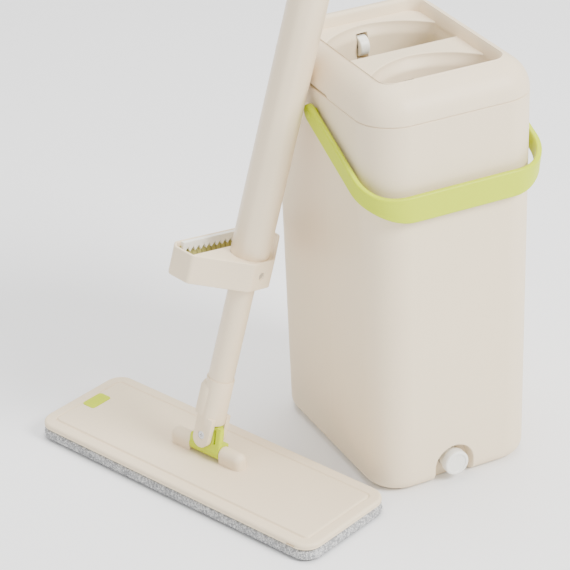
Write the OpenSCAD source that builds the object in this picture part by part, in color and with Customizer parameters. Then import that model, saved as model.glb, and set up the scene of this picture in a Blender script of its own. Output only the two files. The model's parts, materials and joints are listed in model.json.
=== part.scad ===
// Flat squeeze mop and its two-slot bucket. Origin: middle of the bucket's base, on the floor.
// +Z is up, -Y is the bucket's front (drain side), +X is its right. Millimetres.

/* [Bucket] */
// Width of the bucket at its rim, along X
bucket_w = 160; // [150:1:180]
// Depth of the bucket at its rim, along Y
bucket_d = 205; // [195:1:230]
// Height of the bucket's rim, where the lid sits
rim_z = 351; // [340:1:380]
// Radius of the upright corners
corner_r = 35; // [28:1:40]
// Wall thickness of the bucket
wall = 2.4; // [2:0.1:3]
// How much narrower each side is at the floor
draft = 2.5; // [1:0.5:4]
// Radius round the foot of the bucket
foot_r = 12; // [8:1:16]
// Thickness of the wall between the two chambers
divider_t = 2.4; // [2:0.1:3]

/* [Lid] */
// Height of the lid above the rim
lid_h = 29; // [24:1:34]
// Radius of the lid's rounded top edge
lid_edge_r = 29; // [22:1:29]
// Half the width of both slots
slot_half_w = 54.5; // [54:0.5:55]
// Level of the bridge between the slots
bridge_z = 370; // [368:1:372]

/* [Drain] */
// Place of the drain plug along X
plug_x = -5; // [-20:1:20]
// Height of the drain plug's axis
plug_z = 18; // [17:1:22]
// Radius of the plug's knob
knob_r = 11.5; // [10:0.5:12]

/* [Bail] */
// Height of the bail's pivots
bail_z = 331; // [325:1:335]
// Distance from the pivots to the middle of the hand bar
bail_reach = 120; // [120:1:124]
// How far below level the bail rests
bail_droop = 25; // [20:1:27]
// Width of the bail's side straps
strap_w = 17; // [13:1:17]
// Height of the bail's upright hand bar
bar_w = 24; // [18:1:24]
// Thickness of the bail's strap
strap_t = 5; // [4:0.5:6]
// Radius of the bail's pivot pins
bail_pin_r = 4; // [3:0.5:4]

/* [Mop head] */
// Length of the head
head_l = 327; // [310:1:330]
// Width of the head
head_w = 106; // [100:1:106]
// Height of the head's top face
head_top = 17; // [16:1:18]
// Corner radius of the head
head_r = 16; // [12:1:20]
// Thickness of the pad
pad_t = 9.6; // [8:0.2:9.6]
// Turn of the head on the floor, from +X
head_turn = -67.86; // [-70:0.01:-66]

/* [Hinge] */
// Place of the hinge along the head, from its middle
hinge_u = -1; // [-4:0.5:4]
// Place of the hinge across the head, from its middle
hinge_n = 2.5; // [0:0.5:8]
// Height of the lower hinge axis above the head's top face
barrel_h = 7.4; // [7:0.1:7.6]
// Distance from the lower axis to the upper one
link_h = 14; // [14:0.1:14.4]
// Gap between the two hinge housings
hinge_gap = 35; // [33:0.5:36]
// How far the upper hinge axis stands in front of the pole's middle
axis_x = 2; // [0:0.5:3]
// Sideways lean of the pole, towards the bucket
lean_n = 13.3; // [0:0.1:13.4]
// Lean of the pole along the head
lean_u = 7.4; // [0:0.1:7.5]

/* [Pole] */
// Outer radius of the inner pole
pole_r = 11.5; // [11:0.5:12]
// Outer radius of the sleeve
sleeve_r = 17; // [16:0.5:17]
// Where the sleeve and its scraper loop start, from the upper hinge axis
sleeve_start = 149; // [148:1:160]
// Height of the scraper loop along the pole
loop_h = 26.5; // [22:0.5:28]
// Full length of the pole, from the upper hinge axis
pole_len = 1240; // [1100:10:1300]

/* [Hidden] */
$fn = 48;
eps = 0.01;
half_w = bucket_w / 2;
half_d = bucket_d / 2;
top_z = rim_z + lid_h;
slot_front_y = -72;
slot_mid_y = -21;
rear_slot_y = 2;
rear_bulge_y = 60;
bulge_r = 70;
chute_z = 334;
divider_y = -9.5;
recess_half_w = 56;
recess_front_y = -77;
recess_back_y = 73;
roller_r = 9;
roller_w = 9;
roller_x = -4;
rear_roller_at = [62.5, 352];
front_roller_at = [-18.5, 341];
axle_r = 2;
running = 0.06;
head_at = [-189, 17, 0];
button_u = -143.5;
button_n = 3.6;
button_l = 15;
button_w = 24;
bump_r = 6.9;
bump_l = 24;
pin_r = 2.3;
screw_r = 2.5;
fork_r = 12.4;
fork_top = 54;
tongue_gap = 14;
tongue_t = 5;
tongue_face = tongue_gap / 2 + 0.2 + tongue_t;
screw_seat = tongue_face - 1.8;
shoulder_t = 11.5;
socket_t = 26;
loop_t = 2.5;
loop_back = -42.5;
loop_screw_y = -3;
loop_seat = 18.2;
beige = [0.88, 0.84, 0.78];
ivory = [0.93, 0.92, 0.87];
lime = [0.83, 0.88, 0.15];
olive = [0.66, 0.64, 0.30];
steel = [0.75, 0.75, 0.76];
grey = [0.72, 0.73, 0.74];
dark = [0.25, 0.25, 0.26];

// A rounded rectangle as a thin slice at height z, inset by d all round
module slice(w, d, r, inset, z) {
    translate([0, 0, z])
        linear_extrude(eps)
            rounded(w - 2 * inset, d - 2 * inset, max(r - inset, 1));
}

// A rounded rectangle with exact arcs
module rounded(w, d, r) {
    square([w - 2 * r, d], center = true);
    square([w, d - 2 * r], center = true);
    for (x = [-1, 1], y = [-1, 1])
        translate([x * (w / 2 - r), y * (d / 2 - r)])
            circle(r);
}

// The bucket's outer form, or its hollow when inset by the wall
module bucket_form(inset, low) {
    hull() {
        for (a = [0 : 22.5 : 90])
            slice(bucket_w, bucket_d, corner_r, inset + draft + foot_r * (1 - sin(a)),
                low + foot_r * (1 - cos(a)));
        slice(bucket_w, bucket_d, corner_r, inset, rim_z - eps + (inset > 0 ? 1 : 0));
    }
}

// The arched pocket in the bucket's front, grown by g
module drain_arch(g) {
    translate([plug_x, -half_d + 15 + g, 0])
        rotate([90, 0, 0])
            linear_extrude(30 + g) {
                translate([0, plug_z - 3])
                    circle(18.5 + g);
                translate([-18.5 - g, -5])
                    square([2 * (18.5 + g), plug_z + 2]);
            }
}

module bucket_body() {
    boss_l = 9;
    color(beige)
    difference() {
        union() {
            difference() {
                bucket_form(0, 0);
                bucket_form(wall, wall);
            }
            intersection() {
                drain_arch(wall);
                bucket_form(0, 0);
            }
            for (s = [-1, 1])
                translate([s * (half_w - 1), 0, bail_z])
                    rotate([0, -90 * s, 0])
                        cylinder(h = boss_l, r = 8);
            for (s = [-1, 1], g = [-1, 1])
                translate([s * (half_w - wall - 3), divider_y + g * (divider_t / 2 + 1.3), 160])
                    cube([5, 2, 300], center = true);
        }
        drain_arch(0);
        translate([plug_x, -half_d + 25, plug_z])
            rotate([90, 0, 0])
                cylinder(h = 30, r = 7.05);
        for (s = [-1, 1])
            translate([s * (half_w + 3), 0, bail_z])
                rotate([0, -90 * s, 0])
                    cylinder(h = boss_l + 1, r = bail_pin_r + running);
    }
}

// Wall between the wash chamber and the squeeze chamber
module bucket_divider() {
    color(beige)
    intersection() {
        translate([0, divider_y, 165])
            cube([bucket_w, divider_t, 310], center = true);
        bucket_form(wall + 0.5, wall + 0.5);
    }
}

module drain_plug() {
    pocket_y = -half_d + 15;
    color(ivory)
    translate([plug_x, pocket_y, plug_z])
        rotate([90, 0, 0])
            union() {
                translate([0, 0, 2.4])
                    cylinder(h = 8, r = knob_r - 1.5);
                translate([0, 0, 9])
                    cylinder(h = 7, r = knob_r);
                translate([0, 0, 15.9])
                    cylinder(h = 1.6, r1 = knob_r, r2 = knob_r - 1.6, $fn = 64);
                translate([0, 0, -wall - 9])
                    cylinder(h = wall + 12, r = 6.98);
            }
}

module drain_seal() {
    color(dark)
    translate([plug_x, -half_d + 15, plug_z])
        rotate([90, 0, 0])
            difference() {
                cylinder(h = 2.4, r = 10);
                translate([0, 0, -1])
                    cylinder(h = 5, r = 6.98);
            }
}

// The bail's strap seen along its own plane: a wide U with big round corners
module strap_outline(r_out, grow) {
    x_out = 87.5 + grow;
    y_out = bail_reach + strap_t / 2 + grow;
    difference() {
        translate([-x_out, -y_out])
            square([2 * x_out, y_out]);
        for (s = [-1, 1])
            translate([s * (x_out - r_out), -y_out + r_out])
                rotate(s > 0 ? -90 : 180)
                    difference() {
                        square(r_out + 1);
                        circle(r_out, $fn = 96);
                    }
    }
}

module bail() {
    corner = 40;
    bar_half_l = 46;
    color(lime)
    translate([0, 0, bail_z])
        rotate([bail_droop, 0, 0])
            union() {
                translate([0, 0, -strap_w / 2])
                    linear_extrude(strap_w)
                        difference() {
                            strap_outline(corner, 0);
                            strap_outline(corner - strap_t, -strap_t);
                            translate([-82.5, -5])
                                square([165, 10]);
                        }
                translate([0, -bail_reach, 0])
                    rotate([-bail_droop, 0, 0])
                        cube([2 * bar_half_l, strap_t, bar_w], center = true);
                for (s = [-1, 1])
                    translate([s * 87.5, 0, 0])
                        rotate([0, -90 * s, 0])
                            cylinder(h = strap_t, r = strap_w / 2);
                for (s = [-1, 1])
                    translate([s * 83, 0, 0])
                        rotate([0, -90 * s, 0])
                            cylinder(h = 83 - half_w + 6, r = bail_pin_r);
            }
}

// The lid's outer form, or its hollow when inset
module lid_form(inset) {
    hull() {
        slice(bucket_w, bucket_d, corner_r, inset, rim_z - (inset > 0 ? 1 : 0));
        for (a = [0 : 15 : 90])
            slice(bucket_w, bucket_d, corner_r, inset + lid_edge_r * (1 - cos(a)),
                top_z - inset - lid_edge_r * (1 - sin(a)));
    }
}

// Outline of the front slot: straight at the front, bulging back for the hinge, grown by g
module front_slot(g) {
    intersection() {
        translate([-slot_half_w - g, slot_front_y - g])
            square([2 * (slot_half_w + g), 90]);
        translate([0, slot_mid_y - bulge_r])
            circle(bulge_r + g, $fn = 128);
    }
}

// Outline of the rear slot, grown by g
module rear_slot(g) {
    intersection() {
        translate([-slot_half_w - g, rear_slot_y - g])
            square([2 * (slot_half_w + g), 90]);
        translate([0, rear_bulge_y - bulge_r])
            circle(bulge_r + g, $fn = 128);
    }
}

// Outline of the sunk top, grown by g
module recess(g) {
    translate([0, (recess_front_y + recess_back_y) / 2])
        rounded(2 * (recess_half_w + g), recess_back_y - recess_front_y + 2 * g, 12 + g);
}

module lid() {
    color(beige)
    difference() {
        union() {
            difference() {
                lid_form(0);
                lid_form(wall);
            }
            translate([0, 0, chute_z])
                linear_extrude(bridge_z - chute_z) {
                    front_slot(wall);
                    rear_slot(wall);
                }
            translate([0, 0, bridge_z - wall])
                linear_extrude(wall)
                    recess(1.5);
            intersection() {
                translate([0, 0, bridge_z - wall])
                    linear_extrude(20)
                        difference() {
                            recess(3);
                            recess(0);
                        }
                lid_form(0);
            }
            for (at = [rear_roller_at, front_roller_at])
                translate([roller_x, at[0] + 1, at[1]])
                    cube([roller_w + 6, 24, 28], center = true);
        }
        translate([0, 0, bridge_z])
            linear_extrude(40)
                recess(0);
        translate([0, 0, chute_z - 1])
            linear_extrude(80) {
                front_slot(0);
                rear_slot(0);
            }
        for (at = [rear_roller_at, front_roller_at]) {
            translate([roller_x, at[0] - 4, at[1]])
                cube([roller_w + 1, 27, 21], center = true);
            translate([roller_x - 10, at[0], at[1]])
                rotate([0, 90, 0])
                    cylinder(h = 20, r = axle_r);
        }
        translate([-half_w, 0, rim_z + 1])
            cube([9, 40, 3], center = true);
    }
}

// Row of soft teeth that work the pad in the wash slot
module wash_comb() {
    color(lime)
    translate([0, rear_slot_y, 0])
        union() {
            translate([-50, 0, 336])
                cube([100, 2, 12]);
            for (x = [-48 : 6 : 48])
                translate([x - 1, 1.9, 338])
                    cube([2, 4, 8]);
        }
}

// Lip that wrings the pad in the squeeze slot
module squeeze_blade() {
    color(grey)
    translate([0, slot_front_y, 0])
        rotate([90, 0, 90])
            translate([0, 0, -52])
                linear_extrude(104)
                    polygon([[0, 336], [2, 336], [7, 340], [7, 341.5], [2, 350], [0, 350]]);
}

module roller() {
    rotate([0, 90, 0])
        difference() {
            union() {
                cylinder(h = roller_w - 2, r = roller_r, center = true);
                cylinder(h = roller_w, r = roller_r - 1, center = true);
            }
            cylinder(h = roller_w + 2, r = axle_r + running, center = true);
        }
}

module rear_roller() {
    color(ivory)
    translate([roller_x, rear_roller_at[0], rear_roller_at[1]])
        roller();
}

module front_roller() {
    color(ivory)
    translate([roller_x, front_roller_at[0], front_roller_at[1]])
        roller();
}

module roller_axles() {
    color(steel)
    for (at = [rear_roller_at, front_roller_at])
        translate([roller_x, at[0], at[1]])
            rotate([0, 90, 0])
                cylinder(h = roller_w + 5, r = axle_r, center = true);
}

// The head's own frame: X along it, Y across it, Z up, on the floor under its middle
module at_head() {
    translate(head_at)
        rotate([0, 0, head_turn])
            children();
}

// One hinge housing: a barrel round the hinge pin on upright sides, its outer end drawn in
module housing(u, s) {
    soft = 3;
    translate([u, hinge_n, head_top])
        rotate([0, 0, s > 0 ? 0 : 180])
            hull()
                for (cut = [0, soft]) {
                    translate([0, 0, barrel_h])
                        rotate([0, 90, 0])
                            cylinder(h = bump_l - soft + cut, r = bump_r - cut);
                    translate([0, cut - bump_r, -1])
                        cube([bump_l - soft + cut, 2 * (bump_r - cut), 1]);
                }
}

module head_plate() {
    skirt = 5.5;
    lip = 2.2;
    color(beige)
    at_head()
        difference() {
            union() {
                translate([0, 0, head_top - skirt])
                    linear_extrude(skirt)
                        rounded(head_l, head_w, head_r);
                housing(hinge_u + hinge_gap / 2, 1);
                housing(hinge_u - hinge_gap / 2, -1);
            }
            translate([0, 0, head_top - skirt - 1])
                linear_extrude(skirt - 1.5)
                    rounded(head_l - 2 * lip, head_w - 2 * lip, head_r - lip);
            translate([hinge_u, hinge_n, head_top + barrel_h])
                rotate([0, 90, 0])
                    cylinder(h = 80, r = pin_r, center = true);
            translate([button_u, button_n, head_top])
                cube([button_l + 0.8, button_w + 0.8, 8], center = true);
            translate([157.5, 3.5 - head_w / 2, head_top])
                cube([9, 1.6, 8], center = true);
        }
}

// Stiff base that closes the head from below and carries the hook strips
module head_base() {
    color(grey)
    at_head()
        union() {
            difference() {
                translate([0, 0, pad_t + 1])
                    linear_extrude(2)
                        rounded(head_l - 6, head_w - 6, head_r - 3);
                translate([157.5, 3.5 - head_w / 2, pad_t + 2])
                    cube([9, 1.6, 8], center = true);
            }
            translate([button_u, button_n, pad_t + 2])
                difference() {
                    cylinder(h = 1.6, r = 6);
                    cylinder(h = 3, r = 4.6);
                }
        }
}

module hook_strips() {
    color(dark)
    at_head()
        for (y = [-34, 0, 34])
            translate([0, y, pad_t + 0.5])
                cube([290, 20, 1], center = true);
}

module pad() {
    color([0.80, 0.80, 0.80])
    at_head()
        linear_extrude(pad_t)
            rounded(head_l - 1, head_w - 1, head_r - 0.5);
}

module release_button() {
    color(lime)
    at_head()
        translate([button_u, button_n, 0]) {
            translate([0, 0, head_top - 0.5])
                cube([button_l, button_w, 2.2], center = true);
            translate([0, 0, head_top - 1.7])
                cylinder(h = 1, r = 4);
        }
}

module button_spring() {
    color(steel)
    at_head()
        translate([button_u, button_n, pad_t + 3])
            difference() {
                cylinder(h = head_top - 1.7 - pad_t - 3, r = 4);
                translate([0, 0, -1])
                    cylinder(h = 8, r = 3.2);
            }
}

// Frame of the lower hinge axis, leaning with the yoke
module at_yoke() {
    at_head()
        translate([hinge_u, hinge_n, head_top + barrel_h])
            rotate([-lean_n, 0, 0])
                children();
}

// Frame of the pole: Z runs up its middle from the level of the upper hinge axis, Y along that axis
module at_pole() {
    at_yoke()
        translate([0, 0, link_h])
            rotate([0, lean_u, 0])
                translate([-axis_x, 0, 0])
                    children();
}

// Lime link between the head and the pole, with a low cheek and a tall stop
module yoke() {
    half = hinge_gap / 2 - 0.4;
    plate_t = tongue_gap - 1;
    stop_z = 23.4;
    stop_l = 4.6;
    cheek_z = 12.3;
    cheek_r = 5;
    color(lime)
    at_yoke()
        difference() {
            union() {
                rotate([0, 90, 0])
                    cylinder(h = 2 * half, r = bump_r, center = true);
                rotate([90, 0, 0])
                    linear_extrude(plate_t, center = true)
                        union() {
                            translate([0, link_h])
                                circle(10.5);
                            translate([-10.5, 0])
                                square([21, link_h]);
                            translate([-half + cheek_r, cheek_z - cheek_r])
                                circle(cheek_r);
                            translate([-half, 0])
                                square([cheek_r, cheek_z - cheek_r]);
                            translate([-half + cheek_r, 0])
                                square([cheek_r, cheek_z]);
                            square([half, 7.5]);
                        }
                translate([half - stop_l, -plate_t / 2, 0])
                    cube([stop_l, stop_l, stop_z]);
            }
            rotate([0, 90, 0])
                cylinder(h = 60, r = pin_r + running, center = true);
            translate([0, 0, link_h])
                rotate([90, 0, 0])
                    cylinder(h = 30, r = screw_r + running, center = true);
        }
}

module yoke_pin() {
    color(steel)
    at_head()
        translate([hinge_u, hinge_n, head_top + barrel_h])
            rotate([0, 90, 0])
                cylinder(h = 80, r = pin_r, center = true);
}

// Foot of the pole: two tongues that straddle the yoke, a slot it folds into, and the pole's socket
module fork() {
    tongue_r = 8.8;
    tongue_drop = 2.7;
    tongue_top = 18;
    cheek_at = [-4.5, -3.5];
    cheek_r = 10;
    color(beige)
    at_pole()
        difference() {
            union() {
                for (s = [-1, 1])
                    translate([axis_x, s * (tongue_face - tongue_t / 2), 0])
                        rotate([90, 0, 0])
                            linear_extrude(tongue_t, center = true)
                                translate([0, -tongue_drop])
                                    union() {
                                        circle(tongue_r);
                                        translate([-tongue_r, 0])
                                            square([2 * tongue_r, tongue_top + tongue_drop]);
                                    }
                translate([0, 0, shoulder_t])
                    cylinder(h = fork_top - shoulder_t, r = fork_r);
                translate([cheek_at[0], cheek_at[1], tongue_top])
                    cylinder(h = 26, r = cheek_r);
                translate([cheek_at[0], cheek_at[1], tongue_top + 26])
                    cylinder(h = 4, r1 = cheek_r, r2 = 8, $fn = 64);
            }
            translate([0, 0, socket_t])
                cylinder(h = 60, r = pole_r);
            translate([axis_x, 0, 0])
                rotate([90, 0, 0])
                    cylinder(h = 40, r = screw_r, center = true);
            translate([0, 0, (shoulder_t - 12) / 2])
                cube([60, tongue_gap + 0.4, shoulder_t + 12], center = true);
            translate([-30, -tongue_gap / 2 - 0.2, -12])
                cube([29, tongue_gap + 0.4, socket_t + 10]);
            translate([axis_x, -screw_seat, 0])
                rotate([90, 0, 0])
                    cylinder(h = 3, r = 3.8);
            translate([axis_x, screw_seat, 0])
                rotate([-90, 0, 0])
                    cylinder(h = 3, r = 4.6);
        }
}

module pivot_screw() {
    head_l = 1.3;
    color(steel)
    at_pole()
        translate([axis_x, 0, 0])
            difference() {
                union() {
                    rotate([90, 0, 0])
                        cylinder(h = 2 * screw_seat + 1, r = screw_r, center = true);
                    translate([0, -screw_seat, 0])
                        rotate([90, 0, 0])
                            cylinder(h = head_l, r = 3.5);
                }
                for (a = [0, 90])
                    translate([0, -screw_seat - head_l, 0])
                        rotate([0, a, 0])
                            cube([4, 1.4, 0.9], center = true);
            }
}

module pivot_nut() {
    color(steel)
    at_pole()
        translate([axis_x, screw_seat, 0])
            rotate([-90, 0, 0])
                difference() {
                    cylinder(h = 1.6, r = 4.4, $fn = 6);
                    translate([0, 0, -1])
                        cylinder(h = 5, r = screw_r);
                }
}

module inner_pole() {
    color(beige)
    at_pole()
        translate([0, 0, socket_t])
            difference() {
                cylinder(h = 674, r = pole_r);
                translate([0, 0, -1])
                    cylinder(h = 680, r = pole_r - 1);
            }
}

// Collar on the inner pole's top end that runs inside the sleeve
module piston_bush() {
    color(dark)
    at_pole()
        translate([0, 0, 660])
            difference() {
                cylinder(h = 32, r = sleeve_r - 1.6 - 0.08);
                translate([0, 0, -1])
                    cylinder(h = 40, r = pole_r);
            }
}

// Collar in the sleeve's lower end that runs on the inner pole
module guide_bush() {
    color(dark)
    at_pole()
        translate([0, 0, sleeve_start])
            difference() {
                cylinder(h = 34, r = sleeve_r - 1.6);
                translate([0, 0, -1])
                    cylinder(h = 40, r = pole_r + 0.08);
            }
}

module outer_sleeve() {
    color(beige)
    at_pole()
        translate([0, 0, sleeve_start])
            difference() {
                cylinder(h = pole_len - sleeve_start - 30, r = sleeve_r);
                translate([0, 0, -1])
                    cylinder(h = pole_len, r = sleeve_r - 1.6);
            }
}

// Outline of the scraper loop: narrow at its front, widest beside the pole, straight at its back
module loop_outline(g) {
    polygon([[20.5 + g, -15.5 - g / 2], [20.5 + g, 10 + g / 2], [-15, 56 + g], [-36, 57 + g],
        [loop_back - g, 50], [loop_back - g, -50], [-36, -57 - g], [-15, -56 - g]]);
}

module scraper_loop() {
    color(beige)
    at_pole()
        translate([0, 0, sleeve_start])
            difference() {
                union() {
                    difference() {
                        linear_extrude(loop_h)
                            loop_outline(0);
                        translate([0, 0, -1])
                            linear_extrude(loop_h + 2)
                                loop_outline(-loop_t);
                    }
                    cylinder(h = loop_h, r = sleeve_r + 2.2);
                    translate([0, 0, loop_h - 1.2 - loop_t])
                        linear_extrude(loop_t)
                            intersection() {
                                loop_outline(-1);
                                translate([-17.6, -60])
                                    square([40, 120]);
                            }
                    translate([4, 0, loop_h / 2])
                        cube([28, 25, loop_h], center = true);
                }
                translate([0, 0, -1])
                    cylinder(h = loop_h + 2, r = sleeve_r);
                translate([12, loop_screw_y, loop_h / 2])
                    rotate([0, 90, 0])
                        cylinder(h = 12, r = 2);
                translate([loop_seat, loop_screw_y, loop_h / 2])
                    rotate([0, 90, 0])
                        cylinder(h = 4, r = 3.1);
            }
}

// Toothed strip that combs the pad, hung from the top of the loop's far wall
module comb_strip() {
    tooth = 6.8;
    rows = 13;
    color(ivory)
    at_pole()
        translate([loop_back + loop_t, 0, sleeve_start + loop_h - 10])
            rotate([90, 0, 90])
                union() {
                    translate([-rows * tooth / 2, 6])
                        linear_extrude(3.4)
                            square([rows * tooth, 4]);
                    translate([0, 0, 1])
                        linear_extrude(2.4)
                            for (k = [0 : rows - 1])
                                translate([(k - rows / 2) * tooth, 0])
                                    polygon([[0, 6.1], [0, 5], [tooth / 2, 0],
                                        [tooth, 5], [tooth, 6.1]]);
                }
}

module scraper_insert() {
    lip_h = 19.4;
    color(olive)
    at_pole()
        translate([loop_back + loop_t, 0, sleeve_start + 3])
            rotate([90, 0, 0])
                linear_extrude(90, center = true)
                    polygon([[0, 0], [2, 0], [5.5, 3], [5.5, 4.5], [2, 11], [1, 12.5],
                        [1, lip_h], [0, lip_h]]);
}

module loop_screw() {
    color(steel)
    at_pole()
        translate([0, loop_screw_y, sleeve_start + loop_h / 2])
            rotate([0, 90, 0])
                union() {
                    translate([0, 0, sleeve_r])
                        cylinder(h = loop_seat - sleeve_r + 0.1, r = 2);
                    translate([0, 0, loop_seat])
                        cylinder(h = 1, r = 2.9);
                }
}

module grip() {
    color(grey)
    at_pole()
        translate([0, 0, pole_len - 150])
            difference() {
                union() {
                    cylinder(h = 120, r = sleeve_r + 1.6);
                    for (z = [8 : 13 : 112])
                        translate([0, 0, z])
                            cylinder(h = 5, r = sleeve_r + 2.4);
                }
                translate([0, 0, -1])
                    cylinder(h = 130, r = sleeve_r);
            }
}

// Cap of the pole, with a hole to hang it by
module hang_cap() {
    color(lime)
    at_pole()
        translate([0, 0, pole_len - 30])
            difference() {
                union() {
                    cylinder(h = 3, r = sleeve_r + 1.6);
                    translate([0, 0, -12])
                        cylinder(h = 12, r = sleeve_r - 1.6);
                    translate([0, 0, 14])
                        rotate([90, 0, 0])
                            cylinder(h = 9, r = 16, center = true);
                    translate([0, 0, 4])
                        cube([28, 9, 8], center = true);
                }
                translate([0, 0, 16])
                    rotate([90, 0, 0])
                        cylinder(h = 20, r = 7, center = true);
            }
}

bucket_body();
bucket_divider();
drain_plug();
drain_seal();
bail();
lid();
wash_comb();
squeeze_blade();
rear_roller();
front_roller();
roller_axles();
head_plate();
head_base();
hook_strips();
pad();
release_button();
button_spring();
yoke();
yoke_pin();
fork();
pivot_screw();
pivot_nut();
inner_pole();
piston_bush();
guide_bush();
outer_sleeve();
scraper_loop();
comb_strip();
scraper_insert();
loop_screw();
grip();
hang_cap();
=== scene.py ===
"""Flat squeeze mop parked beside its two-slot bucket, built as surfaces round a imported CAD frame."""

import json
import math

import bpy
import numpy as np
from mathutils import Matrix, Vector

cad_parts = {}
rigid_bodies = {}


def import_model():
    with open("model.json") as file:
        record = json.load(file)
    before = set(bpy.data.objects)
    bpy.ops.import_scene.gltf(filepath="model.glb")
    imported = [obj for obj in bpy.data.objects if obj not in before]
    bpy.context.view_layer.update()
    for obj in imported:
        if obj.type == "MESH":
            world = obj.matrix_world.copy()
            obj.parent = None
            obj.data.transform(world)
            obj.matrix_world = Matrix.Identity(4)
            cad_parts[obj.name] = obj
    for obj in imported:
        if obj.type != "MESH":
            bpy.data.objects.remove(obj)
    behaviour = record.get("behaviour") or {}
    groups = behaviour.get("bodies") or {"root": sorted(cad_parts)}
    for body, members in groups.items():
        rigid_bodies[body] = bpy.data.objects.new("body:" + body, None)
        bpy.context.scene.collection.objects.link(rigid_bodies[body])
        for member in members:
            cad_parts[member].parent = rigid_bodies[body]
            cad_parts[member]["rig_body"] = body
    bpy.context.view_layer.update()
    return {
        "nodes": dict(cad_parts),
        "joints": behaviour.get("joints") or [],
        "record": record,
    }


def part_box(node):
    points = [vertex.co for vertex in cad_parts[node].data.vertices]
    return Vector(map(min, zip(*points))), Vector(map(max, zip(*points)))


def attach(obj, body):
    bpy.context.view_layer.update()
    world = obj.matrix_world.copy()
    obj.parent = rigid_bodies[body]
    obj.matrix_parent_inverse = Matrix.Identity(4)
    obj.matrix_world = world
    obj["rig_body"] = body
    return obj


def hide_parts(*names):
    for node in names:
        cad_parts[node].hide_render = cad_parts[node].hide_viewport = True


bl_info = {
    "name": "Flat mop and bucket",
    "version": (1, 0, 0),
    "blender": (4, 5, 0),
    "location": "View3D > Sidebar > Mop",
    "description": "Builds a flat squeeze mop and its two-slot bucket round a CAD frame",
    "category": "Object",
}

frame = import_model()

MM = 0.001
TAU = 2 * math.pi


# ---------------------------------------------------------------- places taken from the frame


def joint(name):
    """The frame's joint of that name."""
    return next(j for j in frame["joints"] if j["name"] == name)


def box_mm(node):
    """Lowest and highest corner of a CAD node, in millimetres."""
    low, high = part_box(node)
    return np.array(low) / MM, np.array(high) / MM


def unit(vector):
    """The vector at length 1."""
    vector = np.array(vector, float)
    return vector / np.linalg.norm(vector)


BUCKET_HIGH = box_mm("bucket_body")[1]
LID_HIGH = box_mm("lid")[1]
HALF_W = BUCKET_HIGH[0]
HALF_D = BUCKET_HIGH[1]
RIM_Z = BUCKET_HIGH[2]
TOP_Z = LID_HIGH[2]
BRIDGE_Z = LID_HIGH[2] - 10

HEAD_ALONG = unit(joint("yoke_tilt")["axis"])
HEAD_ACROSS = np.array([-HEAD_ALONG[1], HEAD_ALONG[0], 0.0])
UP = np.array([0.0, 0.0, 1.0])
PAD_LOW, PAD_HIGH = box_mm("pad")
HEAD_AT = np.array([(PAD_LOW[0] + PAD_HIGH[0]) / 2, (PAD_LOW[1] + PAD_HIGH[1]) / 2, 0.0])

POLE_AT = np.array(joint("pole_tilt")["pos_m"]) / MM
POLE_ACROSS = unit(joint("pole_tilt")["axis"])
POLE_UP = -unit(joint("sleeve_slide")["axis"])
POLE_ALONG = np.cross(POLE_ACROSS, POLE_UP)


def node_span(node, origin, direction):
    """Lowest and highest distance of a CAD node's points along a direction, in mm from the origin."""
    co = np.array([v.co for v in frame["nodes"][node].data.vertices]) / MM
    reach = (co - origin) @ direction
    return float(reach.min()), float(reach.max())


TUBE_AT = POLE_AT + POLE_ALONG * sum(node_span("inner_pole", POLE_AT, POLE_ALONG)) / 2

BAIL_AT = np.array(joint("bail_swing")["pos_m"]) / MM
PLUG_LOW, PLUG_HIGH = box_mm("drain_plug")
PLUG_AT = np.array([(PLUG_LOW[0] + PLUG_HIGH[0]) / 2, 0.0, (PLUG_LOW[2] + PLUG_HIGH[2]) / 2])


def in_row(points):
    """Local millimetres are row millimetres already."""
    return points


def in_head(points):
    """Head frame: X along the head, Y across it, Z up, under its middle."""
    return HEAD_AT + points[..., :1] * HEAD_ALONG + points[..., 1:2] * HEAD_ACROSS + points[..., 2:] * UP


def in_pole(points):
    """Pole frame: Z up the pole's middle from the level of the hinge screw, Y along that screw."""
    in_plan = points[..., :1] * POLE_ALONG + points[..., 1:2] * POLE_ACROSS
    return TUBE_AT + in_plan + points[..., 2:] * POLE_UP


# ---------------------------------------------------------------- settings a user would change


class MopSizes(bpy.types.PropertyGroup):
    """Sizes of the softened edges and fine forms, in millimetres."""

    edge_round: bpy.props.FloatProperty(
        name="Edge rounding", description="Radius of small moulded edges, in mm",
        default=0.9, min=0.2, max=2.0,
    )
    crest_round: bpy.props.FloatProperty(
        name="Lid crest", description="Rounding of the lid's inner crest, in mm",
        default=2.0, min=0.5, max=4.0,
    )
    channel_depth: bpy.props.FloatProperty(
        name="Head channel", description="Depth of the channel round the head, in mm",
        default=1.1, min=0.0, max=2.0,
    )
    tuft: bpy.props.FloatProperty(
        name="Pad tuft", description="How far the pad's loops stand out, in mm",
        default=1.0, min=0.0, max=2.5,
    )
    facets: bpy.props.IntProperty(
        name="Sleeve facets", description="Soft facets round the sleeve", default=10, min=6, max=16
    )


class MopColours(bpy.types.PropertyGroup):
    """Colours of the finishes, as linear values."""

    body: bpy.props.FloatVectorProperty(
        name="Body", description="Bucket, lid, head and pole",
        default=(0.830, 0.690, 0.490), size=3, subtype="COLOR",
    )
    accent: bpy.props.FloatVectorProperty(
        name="Accent", description="Bail, yoke, button and comb",
        default=(0.530, 0.640, 0.0), size=3, subtype="COLOR",
    )
    ivory: bpy.props.FloatVectorProperty(
        name="Ivory", description="Plug, rollers and teeth",
        default=(0.86, 0.85, 0.78), size=3, subtype="COLOR",
    )
    olive: bpy.props.FloatVectorProperty(
        name="Olive", description="Scraper lip", default=(0.36, 0.34, 0.10), size=3, subtype="COLOR"
    )


# ---------------------------------------------------------------- shader maths


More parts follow.
